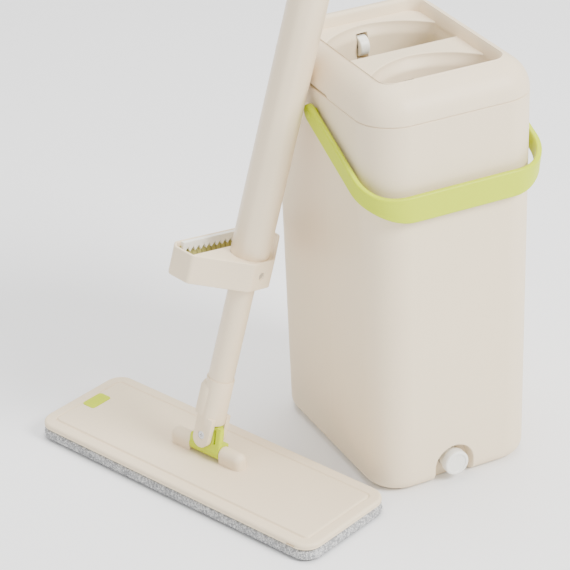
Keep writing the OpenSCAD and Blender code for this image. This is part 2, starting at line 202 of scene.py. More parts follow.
class Wire:
    """An output socket on which Python arithmetic adds Math nodes."""

    def __init__(self, finish, socket):
        self.finish = finish
        self.socket = socket

    def math(self, operation, *others, clamp=False):
        """This value, and the others, through one Math node."""
        values = dict(enumerate((self,) + others))
        return self.finish.node("ShaderNodeMath", {"operation": operation, "use_clamp": clamp}, values)

    def __add__(self, other):
        return self.math("ADD", other)

    __radd__ = __add__

    def __sub__(self, other):
        return self.math("SUBTRACT", other)

    def __rsub__(self, other):
        return self.math("MULTIPLY", -1.0).math("ADD", other)

    def __mul__(self, other):
        return self.math("MULTIPLY", other)

    __rmul__ = __mul__

    def __truediv__(self, other):
        return self.math("DIVIDE", other)

    def above(self, edge, softness):
        """0 below edge, 1 above it, with a soft step of that width."""
        return ((self - edge) / softness + 0.5).math("MULTIPLY", 1.0, clamp=True)


class Finish:
    """One procedural material: a Principled shader and the nodes that vary it."""

    def __init__(self, name, roughness=0.45, metallic=0.0, coat=0.0, specular=0.5, sheen=0.0):
        self.material = bpy.data.materials.new(name)
        self.material.use_nodes = True
        self.tree = self.material.node_tree
        self.tree.nodes.clear()
        self.shader = self.tree.nodes.new("ShaderNodeBsdfPrincipled")
        output = self.tree.nodes.new("ShaderNodeOutputMaterial")
        self.tree.links.new(self.shader.outputs[0], output.inputs[0])
        self.shader.inputs["Roughness"].default_value = roughness
        self.shader.inputs["Metallic"].default_value = metallic
        self.shader.inputs["Coat Weight"].default_value = coat
        self.shader.inputs["Coat Roughness"].default_value = 0.25
        self.shader.inputs["Specular IOR Level"].default_value = specular
        self.shader.inputs["Sheen Weight"].default_value = sheen

    def node(self, kind, settings=None, values=None, out=0):
        """A node of that type, its settings made first, then its sockets' values or links."""
        made = self.tree.nodes.new(kind)
        for key, value in (settings or {}).items():
            setattr(made, key, value)
        for key, value in (values or {}).items():
            if isinstance(value, Wire):
                self.tree.links.new(value.socket, made.inputs[key])
            else:
                made.inputs[key].default_value = value
        return Wire(self, made.outputs[out])

    def feed(self, name, wire):
        """Links a value or colour to one of the shader's sockets."""
        self.tree.links.new(wire.socket, self.shader.inputs[name])

    def place(self):
        """Object coordinates, in metres in the row frame."""
        return self.node("ShaderNodeTexCoord", out=3)

    def axis(self, letter):
        """One object coordinate, in metres."""
        return self.node("ShaderNodeSeparateXYZ", values={0: self.place()}, out="XYZ".index(letter))

    def stretched(self, scale):
        """Object coordinates scaled along each axis."""
        return self.node("ShaderNodeMapping", {"vector_type": "POINT"}, {0: self.place(), 3: scale})

    def noise(self, scale, detail=2.0, vector=None):
        """Noise of that many waves a metre, from 0 to 1."""
        values = {"Vector": vector or self.place(), "Scale": scale, "Detail": detail}
        return self.node("ShaderNodeTexNoise", values=values)

    def mix(self, share, one, two):
        """One colour to the other by share."""
        settings = {"data_type": "RGBA"}
        return self.node("ShaderNodeMix", settings, {0: share, 6: one, 7: two}, out=2)

    def bump(self, height, strength, distance):
        """Height as a bump on the shader's normal."""
        values = {"Height": height, "Strength": strength, "Distance": distance}
        self.feed("Normal", self.node("ShaderNodeBump", values=values))


def shade(colour, factor):
    """A colour made lighter or darker, with alpha 1."""
    return tuple(min(1.0, c * factor) for c in colour[:3]) + (1.0,)


def moulded(name, colour, roughness, spread=0.03, grain=0.10, coat=0.0):
    """Moulded plastic: faint clouding, uneven gloss, fine spark-eroded grain and painted shade near the
    floor.
    """
    f = Finish(name, roughness=roughness, coat=coat, specular=0.3)
    cloud = f.noise(28.0, 3.0)
    flow = f.noise(1.0, 2.0, f.stretched((160.0, 160.0, 12.0)))
    share = (cloud * 0.7 + flow * 0.3).math("MULTIPLY", 1.0, clamp=True)
    base = f.mix(share, shade(colour, 1 - spread), shade(colour, 1 + spread))
    # painted shade: the colour darkens over the lowest 1 to 2 cm, where the floor's contact shade falls
    floor_shade = (1.0 - f.axis("Z").above(0.010, 0.020)) * 0.22
    base = f.mix(floor_shade, base, shade(colour, 0.90))
    f.feed("Base Color", base)
    f.feed("Roughness", cloud * 0.10 + (roughness - 0.05))
    fine = f.noise(2600.0, 2.0)
    wave = f.noise(60.0, 1.0)
    f.bump(fine * 0.6 + wave * 0.4, grain, 0.00025)
    return f.material


def coated_tube(name, colour):
    """Lacquered tube: even colour, long faint draw lines and a soft clear coat."""
    f = Finish(name, roughness=0.34, coat=0.25)
    lines = f.noise(1.0, 3.0, f.stretched((900.0, 900.0, 6.0)))
    cloud = f.noise(14.0, 2.0)
    f.feed("Base Color", f.mix(cloud, shade(colour, 0.975), shade(colour, 1.02)))
    f.feed("Roughness", lines * 0.10 + 0.30)
    f.bump(lines * 0.5 + f.noise(1800.0) * 0.5, 0.06, 0.0002)
    return f.material


def soft_rubber(name, colour, roughness=0.72):
    """Matt elastomer: mottled, with a faint pebble and scuffs."""
    f = Finish(name, roughness=roughness, specular=0.3)
    mottle = f.noise(120.0, 4.0)
    f.feed("Base Color", f.mix(mottle, shade(colour, 0.86), shade(colour, 1.12)))
    f.feed("Roughness", mottle * 0.2 + (roughness - 0.1))
    f.bump(f.noise(1500.0, 3.0) + mottle, 0.25, 0.0003)
    return f.material


def ribbed_scraper(name, colour):
    """Soft scraper lip: moulded ribs run across it, and their sunk bands carry painted shade."""
    g = Finish(name, roughness=0.6, specular=0.35)
    ends = {0: g.place(), 1: tuple(POLE_ACROSS)}
    across = g.node("ShaderNodeVectorMath", {"operation": "DOT_PRODUCT"}, ends, out=1)
    wave = (across * (TAU / 0.006)).math("SINE")
    rib = wave.above(0.55, 0.5)
    mottle = g.noise(160.0, 3.0)
    base = g.mix(mottle, shade(colour, 0.9), shade(colour, 1.12))
    # painted shade: the sunk rib bands are mixed towards a much darker olive
    g.feed("Base Color", g.mix(rib * 0.55, base, shade(colour, 0.35)))
    g.feed("Roughness", mottle * 0.2 + 0.5)
    g.bump(1.0 - rib, 0.4, 0.0005)
    return g.material


def plated_steel(name):
    """Zinc-plated steel: fine turning marks and uneven gloss."""
    f = Finish(name, roughness=0.3, metallic=1.0)
    marks = f.noise(1.0, 3.0, f.stretched((300.0, 300.0, 2400.0)))
    f.feed("Base Color", f.mix(marks, (0.52, 0.52, 0.53, 1.0), (0.72, 0.72, 0.73, 1.0)))
    f.feed("Roughness", marks * 0.2 + 0.22)
    f.bump(marks, 0.12, 0.0001)
    return f.material


def looped_microfibre(name):
    """Melange pad cloth: each loop is grey or white, with fine yarn, painted shade in the gaps between
    loops and a painted contact shadow along its foot.
    """
    f = Finish(name, roughness=0.95, specular=0.15, sheen=0.35)
    loops = f.node("ShaderNodeTexVoronoi", {"feature": "F1"}, {"Vector": f.place(), "Scale": 700.0})
    tint = f.node("ShaderNodeTexVoronoi", {"feature": "F1"}, {"Vector": f.place(), "Scale": 700.0}, out=1)
    pick = f.node("ShaderNodeSeparateColor", values={0: tint})
    band = f.noise(55.0, 3.0)
    grey = (pick * 0.75 + band * 0.5).above(0.62, 0.25)
    yarn = f.noise(2400.0, 2.0)
    base = f.mix(grey, (0.70, 0.70, 0.69, 1.0), (0.27, 0.275, 0.285, 1.0))
    # painted shade in the gaps between the loops, where the Voronoi distance is large and the bump sinks
    # the surface
    base = f.mix(loops.above(0.62, 0.4) * 0.55, base, (0.16, 0.16, 0.17, 1.0))
    base = f.mix(yarn * 0.3, base, (0.85, 0.85, 0.84, 1.0))
    # painted contact shadow: the lowest 1 to 2 mm of the pad is mixed towards near black
    foot_shadow = 1.0 - f.axis("Z").above(0.0016, 0.0008)
    f.feed("Base Color", f.mix(foot_shadow * 0.9, base, (0.05, 0.05, 0.052, 1.0)))
    f.feed("Roughness", yarn * 0.1 + 0.88)
    f.bump((1.0 - loops) * 0.8 + yarn * 0.25, 0.9, 0.0014)
    return f.material


def hook_tape(name):
    """Dark tape with rows of tiny hooks."""
    f = Finish(name, roughness=0.8, specular=0.3)
    dots = f.node("ShaderNodeTexVoronoi", {"feature": "F1"}, {"Vector": f.place(), "Scale": 900.0})
    f.feed("Base Color", f.mix(dots, (0.03, 0.03, 0.032, 1.0), (0.10, 0.10, 0.105, 1.0)))
    f.feed("Roughness", dots * 0.2 + 0.7)
    f.bump(1.0 - dots, 0.7, 0.0005)
    return f.material


def backdrop_paint(name):
    """Plain pale studio sheet with the faintest unevenness."""
    f = Finish(name, roughness=0.85, specular=0.2)
    f.feed("Base Color", f.mix(f.noise(3.0), (0.90, 0.90, 0.90, 1.0), (0.93, 0.93, 0.93, 1.0)))
    return f.material


FINISHES = {}


def make_finishes(colours):
    """Makes each finish once, under the record's slot names."""
    body = tuple(colours.body)
    accent = tuple(colours.accent)
    ivory = tuple(colours.ivory)
    FINISHES.update(
        {
            "beige_plastic": moulded("warm_beige_moulding", body, 0.46),
            "beige_coated_tube": coated_tube("warm_beige_tube", body),
            "lime_plastic": moulded("lime_moulding", accent, 0.42, spread=0.05),
            "ivory_plastic": moulded("ivory_moulding", ivory, 0.36, coat=0.15),
            "grey_plastic": moulded("grey_moulding", (0.46, 0.47, 0.48), 0.5),
            "dark_plastic": moulded("dark_moulding", (0.05, 0.05, 0.055), 0.5),
            "seal_rubber": soft_rubber("seal_rubber", (0.045, 0.045, 0.048)),
            "grey_rubber": soft_rubber("grey_rubber", (0.48, 0.49, 0.50)),
            "olive_rubber": ribbed_scraper("olive_scraper", tuple(colours.olive)),
            "hook_tape": hook_tape("hook_tape"),
            "pad_fabric": looped_microfibre("melange_microfibre"),
            "steel": plated_steel("plated_steel"),
        }
    )


# ---------------------------------------------------------------- surfaces


def rounded_outline(half_x, half_y, radius, share):
    """Points on a rounded rectangle, one ring for each row of sizes.

    A ring starts at the middle of the right side and runs anticlockwise at an even pace: straight and
    arc by turns, each as far as its share of the way round has got.
    """
    half_x, half_y, radius = (np.asarray(a, float).reshape(-1, 1) for a in (half_x, half_y, radius))
    radius = np.minimum(radius, np.minimum(half_x, half_y) - 1e-6)
    arc = radius * math.pi / 2
    up = half_y - radius
    side = half_x - radius
    bend = (arc, 1)
    across = (2 * side, 0)
    legs = [(up, 0), bend, across, bend, (2 * up, 0), bend, across, bend, (up, 0)]
    way = share * sum(leg for leg, _ in legs)
    x = half_x + 0 * way
    y = 0 * way
    heading = math.pi / 2
    done = 0
    for leg, turning in legs:
        along = np.clip(way - done, 0, leg)
        if turning:
            angle = along / radius
            x = x + radius * (np.sin(heading + angle) - math.sin(heading))
            y = y - radius * (np.cos(heading + angle) - math.cos(heading))
            heading += math.pi / 2
        else:
            x = x + math.cos(heading) * along
            y = y + math.sin(heading) * along
        done = done + leg
    return x, y


def smooth_step(low, high, value):
    """0 up to low, 1 from high, an S between."""
    t = np.clip((value - low) / (high - low), 0, 1)
    return t * t * (3 - 2 * t)


def blurred_outline(corners, count, blur):
    """A closed outline through the corner points, its corners rounded by averaging along the edge.

    The polygon is resampled at an even pace, averaged over a window of that length, and resampled again.
    """
    corners = np.array(corners, float)
    fine = 4000
    closed = np.vstack([corners, corners[:1]])
    for window in (blur, 0.0):
        length = np.concatenate([[0], np.cumsum(np.linalg.norm(np.diff(closed, axis=0), axis=1))])
        steps = fine if window else count
        at = np.linspace(0, length[-1], steps, endpoint=False)
        even = np.stack([np.interp(at, length, closed[:, k]) for k in (0, 1)], axis=1)
        if window:
            width = max(1, int(window / length[-1] * fine))
            kernel = np.exp(-0.5 * (np.linspace(-2.5, 2.5, width * 2 + 1)) ** 2)
            kernel = kernel / kernel.sum()
            padded = np.vstack([even[-width:], even, even[:width]])
            even = np.stack([np.convolve(padded[:, k], kernel, "valid") for k in (0, 1)], axis=1)
            closed = np.vstack([even, even[:1]])
    return even


def outline_normals(outline):
    """Outward unit normals of an anticlockwise closed outline, by central differences."""
    along = np.roll(outline, -1, axis=0) - np.roll(outline, 1, axis=0)
    along = along / np.linalg.norm(along, axis=1, keepdims=True)
    return np.stack([along[:, 1], -along[:, 0]], axis=1)


def signed_volume(points, faces):
    """Six times the volume that the faces enclose, positive if they point outwards."""
    triangles = np.vstack([faces[:, [0, 1, 2]], faces[:, [0, 2, 3]]])
    a, b, c = (points[triangles[:, k]] for k in range(3))
    return float(np.einsum("ij,ij->i", a, np.cross(b, c)).sum())


def grid_shell(points, joined=False):
    """A closed shell from a grid of rings: each row is a ring, and rows are bridged in order.

    With joined the last ring meets the first, as on a torus; otherwise each end ring is closed to its
    middle point. Faces are turned to point outwards by the sign of the volume.
    """
    rows, columns, _ = points.shape
    flat = points.reshape(-1, 3)
    index = np.arange(rows * columns).reshape(rows, columns)
    lower = index if joined else index[:-1]
    upper = np.roll(index, -1, axis=0) if joined else index[1:]
    corners = [lower, np.roll(lower, -1, axis=1), np.roll(upper, -1, axis=1), upper]
    faces = np.stack(corners, axis=-1).reshape(-1, 4)
    if not joined:
        ends = np.array([points[0].mean(axis=0), points[-1].mean(axis=0)])
        flat = np.vstack([flat, ends])
        low, high = rows * columns, rows * columns + 1
        first, last = index[0], index[-1]
        foot = np.full(columns, low)
        tip = np.full(columns, high)
        fan_low = np.stack([np.roll(first, -1), first, foot, foot], axis=1)
        fan_high = np.stack([last, np.roll(last, -1), tip, tip], axis=1)
        faces = np.vstack([faces, fan_low, fan_high])
    if signed_volume(flat, faces) < 0:
        faces = faces[:, ::-1]
    return flat, faces


def outward_shell(points, faces):
    """The shell with its faces turned outwards."""
    return points, faces if signed_volume(points, faces) > 0 else faces[:, ::-1]


def make_piece(name, shells, slot, body, replaces=(), place=in_row, material=None):
    """One object from closed shells in local millimetres, with its finish, body and CAD nodes."""
    points, loops, sizes, offset = [], [], [], 0
    for shell_points, faces in shells:
        triangle = (faces[:, 2] == faces[:, 3]) | (faces[:, 0] == faces[:, 1])
        quads = faces[~triangle]
        fans = faces[triangle]
        fans = np.where((fans[:, :1] == fans[:, 1:2]), fans[:, [1, 2, 3]], fans[:, [0, 1, 2]])
        points.append(place(shell_points) * MM)
        loops += [quads.ravel() + offset, fans.ravel() + offset]
        sizes += [np.full(len(quads), 4), np.full(len(fans), 3)]
        offset += len(shell_points)
    points = np.vstack(points)
    loops = np.concatenate(loops)
    sizes = np.concatenate(sizes)
    mesh = bpy.data.meshes.new(name)
    mesh.vertices.add(len(points))
    mesh.vertices.foreach_set("co", points.astype(np.float32).ravel())
    mesh.loops.add(len(loops))
    mesh.loops.foreach_set("vertex_index", loops.astype(np.int32))
    mesh.polygons.add(len(sizes))
    starts = np.concatenate([[0], np.cumsum(sizes)[:-1]])
    mesh.polygons.foreach_set("loop_start", starts.astype(np.int32))
    mesh.update(calc_edges=True)
    mesh.validate()
    mesh.polygons.foreach_set("use_smooth", np.ones(len(mesh.polygons), bool))
    mesh.set_sharp_from_angle(angle=math.radians(42))
    piece = bpy.data.objects.new(name, mesh)
    bpy.context.scene.collection.objects.link(piece)
    mesh.materials.append(material or FINISHES[slot])
    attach(piece, body)
    if replaces:
        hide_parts(*replaces)
    return piece


def lathe(profile, count=96, joined=True, facets=0, facet_depth=0.0):
    """A profile of (radius, height) turned round Z; facets flatten it softly that many times round."""
    profile = np.array(profile, float)
    angle = np.linspace(0, TAU, count, endpoint=False)
    radius = profile[:, :1] * (1 - facet_depth * (0.5 - 0.5 * np.cos(facets * angle)))
    height = profile[:, 1:] + 0 * angle
    points = np.stack([radius * np.cos(angle), radius * np.sin(angle), height], axis=-1)
    return grid_shell(points, joined)


def rounded_profile(corners, radius, steps=6):
    """An open or closed run of (radius, height) corners with each inner corner cut by an arc-like curve.

    Each corner becomes a quadratic curve that leaves and joins its edges at the rounding radius.
    """
    corners = np.array(corners, float)
    before = np.roll(corners, 1, axis=0) - corners
    after = np.roll(corners, -1, axis=0) - corners
    reach_b = np.linalg.norm(before, axis=1, keepdims=True)
    reach_a = np.linalg.norm(after, axis=1, keepdims=True)
    start = corners + before / reach_b * np.minimum(radius, reach_b * 0.49)
    end = corners + after / reach_a * np.minimum(radius, reach_a * 0.49)
    t = np.linspace(0, 1, steps).reshape(1, -1, 1)
    curve = (1 - t) ** 2 * start[:, None] + 2 * t * (1 - t) * corners[:, None] + t**2 * end[:, None]
    return curve.reshape(-1, 2)


def turned(points, x_axis, y_axis, z_axis, origin):
    """Local points carried to three axes and an origin."""
    axes = np.array([x_axis, y_axis, z_axis], float)
    return points @ axes + np.array(origin, float)


def eased_samples(low, high, count, ease=0.0):
    """Numbers from low to high, packed towards both ends by ease."""
    t = np.linspace(0, 1, count)
    return low + (high - low) * (t - ease * np.sin(TAU * t) / TAU)


# ---------------------------------------------------------------- the bucket


def bucket_shell(sizes):
    """The bucket's wall: rings from the middle of its underside, round the foot, up the outside, over the
    rim and down the inside to the middle of its floor.

    Each ring is the rim's rounded rectangle drawn in by an inset. In front, points inside the arch of
    the drain are pushed back to the pocket's flat wall with an S-shaped edge.
    """
    draft = 2.5
    foot = 12.0
    wall = 2.4
    corner = 35.0
    lip = sizes.edge_round
    pocket_y = box_mm("drain_seal")[1][1]
    arch_r = 18.5
    arch_z = PLUG_AT[2] - 3
    turn = np.linspace(0, math.pi / 2, 15)
    low_in = np.array([72.0, 50.0, 32.0, 20.0])
    foot_in = draft + foot * (1 - np.sin(turn))
    foot_z = foot * (1 - np.cos(turn))
    wall_z = np.concatenate([np.arange(12.8, 40, 0.8), eased_samples(40, RIM_Z - lip, 26)])
    wall_in = draft * (RIM_Z - wall_z) / (RIM_Z - foot)
    over = np.linspace(0, math.pi, 9)
    over_in = wall / 2 * (1 - np.cos(over))
    over_z = RIM_Z - lip + lip * np.sin(over)
    inner_z = eased_samples(RIM_Z - lip - 1, foot + wall, 26)
    inner_in = wall + draft * (RIM_Z - inner_z) / (RIM_Z - foot)
    well = turn[::-2]
    well_in = wall + draft + (foot - wall) * (1 - np.sin(well))
    well_z = wall + (foot - wall) * (1 - np.cos(well))
    inset = np.concatenate([low_in, foot_in, wall_in, over_in, inner_in, well_in, low_in[::-1]])
    height = np.concatenate([0 * low_in, foot_z, wall_z, over_z, inner_z, well_z, 0 * low_in + wall])
    outer_rows = len(low_in) + len(foot_in) + len(wall_z)
    share = np.linspace(0, 1, 640, endpoint=False)
    share = share - 0.55 / TAU * np.sin(TAU * (share - 0.75))
    share = np.sort(share % 1.0)
    x, y = rounded_outline(HALF_W - inset, HALF_D - inset, np.maximum(corner - inset, 3.0), share)
    z = height[:, None] + 0 * x
    above = np.hypot(x - PLUG_AT[0], z - arch_z) - arch_r
    below = np.abs(x - PLUG_AT[0]) - arch_r
    edge = np.where(z > arch_z, above, below)
    inside = 1 - smooth_step(-1.1, 0.7, edge)
    row = np.arange(len(inset))[:, None]
    outer = (row < outer_rows) & (y < -60)
    target = np.where(outer & (y < pocket_y), pocket_y, y)
    y = y + (target - y) * inside
    inner = (row >= outer_rows) & (y < -60)
    room = 1 - smooth_step(-1.1, 1.5, edge - wall)
    back = np.where(inner & (y < pocket_y + wall), pocket_y + wall, y)
    y = y + (back - y) * room
    seam = np.exp(-(((y + 8.0) / 0.9) ** 2)) * smooth_step(24, 40, z) * (row < outer_rows) * (x < -60)
    x = x - 0.28 * seam
    return grid_shell(np.stack([x, y, z], axis=-1))


def pivot_bosses():
    """Two bosses inside the bucket for the bail's pins: rings turned about X."""
    shells = []
    for side in (-1, 1):
        corners = [(4.06, 0.0), (8.0, 0.0), (8.0, 8.0), (4.06, 8.0)]
        points, faces = lathe(rounded_profile(corners, 0.6), 40)
        placed = turned(points, (0, 0, 1), (0, 1, 0), (-side, 0, 0), (side * (HALF_W - 1.2), 0, BAIL_AT[2]))
        shells.append(outward_shell(placed, faces))
    return shells


def lid_rim_shell(sizes):
    """The lid's rounded border: rings up the outside, over the crest, down the sunk top's sloping wall,
    and back under to the start.

    The outer rings follow a quarter round. The crest and inner wall run between it and the recess's
    own outline. A low finger slot is pressed in at the left.
    """
    big = TOP_Z - RIM_Z
    crest = sizes.crest_round
    shell = 2.4
    fall = np.linspace(0, math.radians(77), 30)
    rows = [(1.1, RIM_Z + 0.05), (0.4, RIM_Z + 0.45), (0.08, RIM_Z + 1.0), (0.0, RIM_Z + 1.8)]
    rows += [(big * (1 - math.cos(a)), RIM_Z + big * math.sin(a)) for a in fall if big * math.sin(a) > 2.0]
    inset = np.array([r[0] for r in rows])
    z = np.array([r[1] for r in rows])
    half_x = HALF_W - inset
    half_y = HALF_D - inset
    radius = np.maximum(35 - inset, 3)
    middle = 0 * inset
    top = z[-1]
    bend = np.linspace(0.15, 1, 7)
    crest_x = half_x[-1] + (57.6 - half_x[-1]) * bend
    crest_y = half_y[-1] + (76.9 - half_y[-1]) * bend
    crest_mid = -2.0 * bend
    crest_z = top + crest * 0.45 * np.sin(bend * math.pi * 0.75)
    inner = [(57.0, 76.2, crest_z[-1] - 0.8), (56.3, 75.5, crest_z[-1] - 2.3), (55.5, 74.7, 374.0)]
    inner += [(54.95, 74.1, 371.4), (54.75, 73.8, 369.6), (54.75, 73.8, 368.2)]
    under = [(57.0, 77.0, 367.6), (58.2, 79.0, 372.0), (60.5, 83.0, 374.5)]
    back = np.linspace(math.radians(60), 0, 14)
    under_r = big - shell
    for a in back:
        lost = shell + under_r * (1 - math.cos(a))
        under.append((HALF_W - lost, HALF_D - lost, RIM_Z + under_r * math.sin(a) + 0.05))
    tail = np.array(inner + under)
    half_x = np.concatenate([half_x, crest_x, tail[:, 0]])
    half_y = np.concatenate([half_y, crest_y, tail[:, 1]])
    z = np.concatenate([z, crest_z, tail[:, 2]])
    inner_mid = np.concatenate([np.full(len(inner), -2.0), [-2.0, -1.5, -1.0], np.zeros(14)])
    middle = np.concatenate([middle, crest_mid, inner_mid])
    inner_r = np.concatenate([np.full(len(inner), 12.0), [13.0, 13.0, 14.0], np.linspace(18, 32, 14)])
    radius = np.concatenate([radius, np.linspace(radius[-1], 12.5, 7), inner_r])
    share = np.linspace(0, 1, 560, endpoint=False)
    x, y = rounded_outline(half_x, half_y, radius, share)
    y = y + middle[:, None]
    height = z[:, None] + 0 * x
    low = 1 - smooth_step(RIM_Z + 1.0, RIM_Z + 3.2, height)
    pressed = (1 - smooth_step(17.5, 20.0, np.abs(y))) * (x < -HALF_W + 12) * low
    outside = (np.arange(len(z)) < 8)[:, None]
    x = x + np.where(outside, 2.2 * pressed, 0)
    height = height + np.where(outside, 0.9 * pressed, 0)
    return grid_shell(np.stack([x, y, height], axis=-1), joined=True)


def slot_outline(straight_y, bulge_y, count):
    """A D-shaped slot, anticlockwise: straight front and sides, and an arc bulging towards the back."""
    half = 54.5
    bulge_r = 70.0
    centre_y = bulge_y - bulge_r
    reach = math.asin(half / bulge_r)
    arc = np.linspace(reach, -reach, 60)
    corners = [(-half, straight_y), (half, straight_y)]
    corners += list(zip(bulge_r * np.sin(arc), centre_y + bulge_r * np.cos(arc)))
    return blurred_outline(corners, count, 2.2)


def floor_half(straight_y, bulge_y, y_low, y_high, window, deep):
    """Half of the lid's sunk floor with its slot: rings from the floor's edge in to the slot, over a
    funnel, down the slot's wall, round its lower edge, up the outside of the wall and out under the floor.

    Rings between the edge and the slot are straight blends of the two outlines. The funnel is an S-shaped
    fall that leans back most where the wall faces the back. A pocket for the guide roller is pushed into
    the back wall between the window's two heights.
    """
    count = 412
    slot = slot_outline(straight_y, bulge_y, count)
    normal = outline_normals(slot)
    wall = 2.3
    edge_x = 56.4
    corner = 2.0
    fall = 11.0
    mid_y = (y_low + y_high) / 2
    fine = np.linspace(0, 1, 2000, endpoint=False)
    ring_x, ring_y = rounded_outline(edge_x, (y_high - y_low) / 2, corner, fine)
    angle = np.arctan2(ring_y[0], ring_x[0])
    order = np.argsort(angle)
    seen = np.arctan2(slot[:, 1] - mid_y, slot[:, 0])
    edge = np.stack([np.interp(seen, angle[order], v[0][order]) for v in (ring_x, ring_y)], axis=1)
    edge[:, 1] += mid_y
    lean = np.clip(normal[:, 1:2], 0, 1) * deep
    lips = np.minimum(1.1 + lean, 7.0)
    side = np.abs(normal[:, :1])
    lips = lips * (1 - side) + 0.9 * side
    z_low = 334.2
    turn = np.linspace(0, math.pi / 2, 6)
    rows, heights = [], []
    for t in np.linspace(0, 1, 7):
        rows.append(edge + (slot + normal * (lips + 1.0) - edge) * t)
        heights.append(BRIDGE_Z)
    for a in turn[1:]:
        rows.append(slot + normal * (lips + 1.0 - 1.0 * math.sin(a)))
        heights.append(BRIDGE_Z - 1.0 * (1 - math.cos(a)))
    for t in np.linspace(0.08, 1.0, 12):
        rows.append(slot + normal * lips * (1 - t * t * (3 - 2 * t)))
        heights.append(BRIDGE_Z - 1.0 - fall * t)
    for z in np.concatenate([np.arange(BRIDGE_Z - fall - 1.8, z_low + 0.4, -0.85), [z_low]]):
        rows.append(slot)
        heights.append(z)
    rows.append(slot + normal * wall * 0.5)
    heights.append(z_low - 0.15)
    inner_rows = len(rows)
    for z in np.concatenate([[z_low + 0.2], np.arange(z_low + 3, BRIDGE_Z - fall - 3.0, 1.7)]):
        rows.append(slot + normal * wall)
        heights.append(z)
    for t in np.linspace(1.0, 0.1, 7):
        rows.append(slot + normal * (wall + lips * (1 - t * t * (3 - 2 * t))))
        heights.append(BRIDGE_Z - 3.2 - (fall - 1.0) * t)
    rows.append(slot + normal * (lips + wall))
    heights.append(BRIDGE_Z - 2.4)
    rows.append(edge)
    heights.append(BRIDGE_Z - 2.4)
    plan = np.array(rows)
    z = np.array(heights)[:, None] + 0 * plan[..., 0]
    x = plan[..., 0]
    y = plan[..., 1]
    row = np.arange(len(heights))[:, None]
    rx = sum(box[0] for box in box_mm("rear_roller")) / 2
    facing = normal[None, :, 1] > 0.6
    inside = (12, inner_rows - 1, 0.0, 15.5)
    outside = (inner_rows, len(heights) - 2, 1.8, 17.0)
    for first, last, grow, depth in (inside, outside):
        across = 1 - smooth_step(4.6 + grow, 5.4 + grow, np.abs(x - rx))
        upright = smooth_step(window[0] - grow - 0.5, window[0] - grow + 0.5, z)
        upright = upright * (1 - smooth_step(window[1] + grow - 0.5, window[1] + grow + 0.5, z))
        push = across * upright * depth * facing * ((row >= first) & (row <= last))
        y = y + push
    return grid_shell(np.stack([x, y, z], axis=-1), joined=True)


# ---------------------------------------------------------------- swept and pressed forms


def bail_shell():
    """The bail: a rounded strap section carried along a wide U with round corners.

    The strap's width follows the path: a half round past each pivot, even along the arms, and broader
    along the hand bar, by an S-shaped step. Through each bend the section turns back by the droop, so
    that the hand bar stands upright.
    """
    droop = math.radians(25)
    reach = 120.0
    thick = 5.0
    arm_x = 85.0
    corner = 37.5
    arm_w = 17.0
    bar_w = 24.0
    past = arm_w / 2
    straight = reach - corner
    lead = past + straight
    bend = corner * math.pi / 2
    cross = 2 * (arm_x - corner)
    total = 2 * lead + 2 * bend + cross
    half = total / 2
    ends = past - past * np.cos(np.linspace(0.12, math.pi / 2, 12))
    middle = np.linspace(past + 1, half, 110)
    run = np.concatenate([ends, middle])
    run = np.concatenate([run, total - run[::-1][1:]])
    one = np.minimum(run, total - run)
    leg = np.clip(one, 0, lead)
    arc = np.clip(one - lead, 0, bend) / corner
    flat = np.clip(one - lead - bend, 0, cross / 2)
    x = arm_x - corner * (1 - np.cos(arc)) - flat
    y = past - leg - corner * np.sin(arc)
    tip = (droop * smooth_step(0, math.pi / 2, arc))[:, None]
    sign = np.where(run <= half, 1.0, -1.0)
    width = np.where(one < past, 2 * np.sqrt(np.maximum(past**2 - (past - one) ** 2, 0.02)), arm_w)
    width = width + (bar_w - arm_w) * smooth_step(lead + bend * 0.35, lead + bend + 2, one)
    share = np.linspace(0, 1, 64, endpoint=False)
    edge = np.minimum(1.9, width / 2 - 0.01)
    sx, sy = rounded_outline(np.full(len(run), thick / 2), width / 2, edge, share)
    out = sx * np.cos(tip) - sy * np.sin(tip)
    px = (x[:, None] + out * np.cos(arc)[:, None]) * sign[:, None]
    py = y[:, None] - out * np.sin(arc)[:, None]
    points = np.stack([px, py, sy * np.cos(tip) + sx * np.sin(tip)], axis=-1)
    points = turned(points, (1, 0, 0), (0, math.cos(droop), math.sin(droop)),
                    (0, -math.sin(droop), math.cos(droop)), BAIL_AT)
    shells = [grid_shell(points)]
    for side in (-1, 1):
        corners = [(0.01, 0.0), (4.0, 0.0), (4.0, 9.0), (0.01, 9.0)]
        pin, faces = lathe(rounded_profile(corners, 0.5, 4), 40)
        placed = turned(pin, (0, 0, 1), (0, 1, 0), (-side, 0, 0), (side * 83.0, 0, BAIL_AT[2]))
        shells.append(outward_shell(placed, faces))
        dome = rounded_profile([(0.01, 0.0), (3.4, 0.0), (3.4, 0.45), (0.01, 0.6)], 0.3, 4)
        cap, faces = lathe(dome, 40)
        placed = turned(cap, (0, 0, 1), (0, 1, 0), (side, 0, 0), (side * 87.4, 0, BAIL_AT[2]))
        shells.append(outward_shell(placed, faces))
    return shells


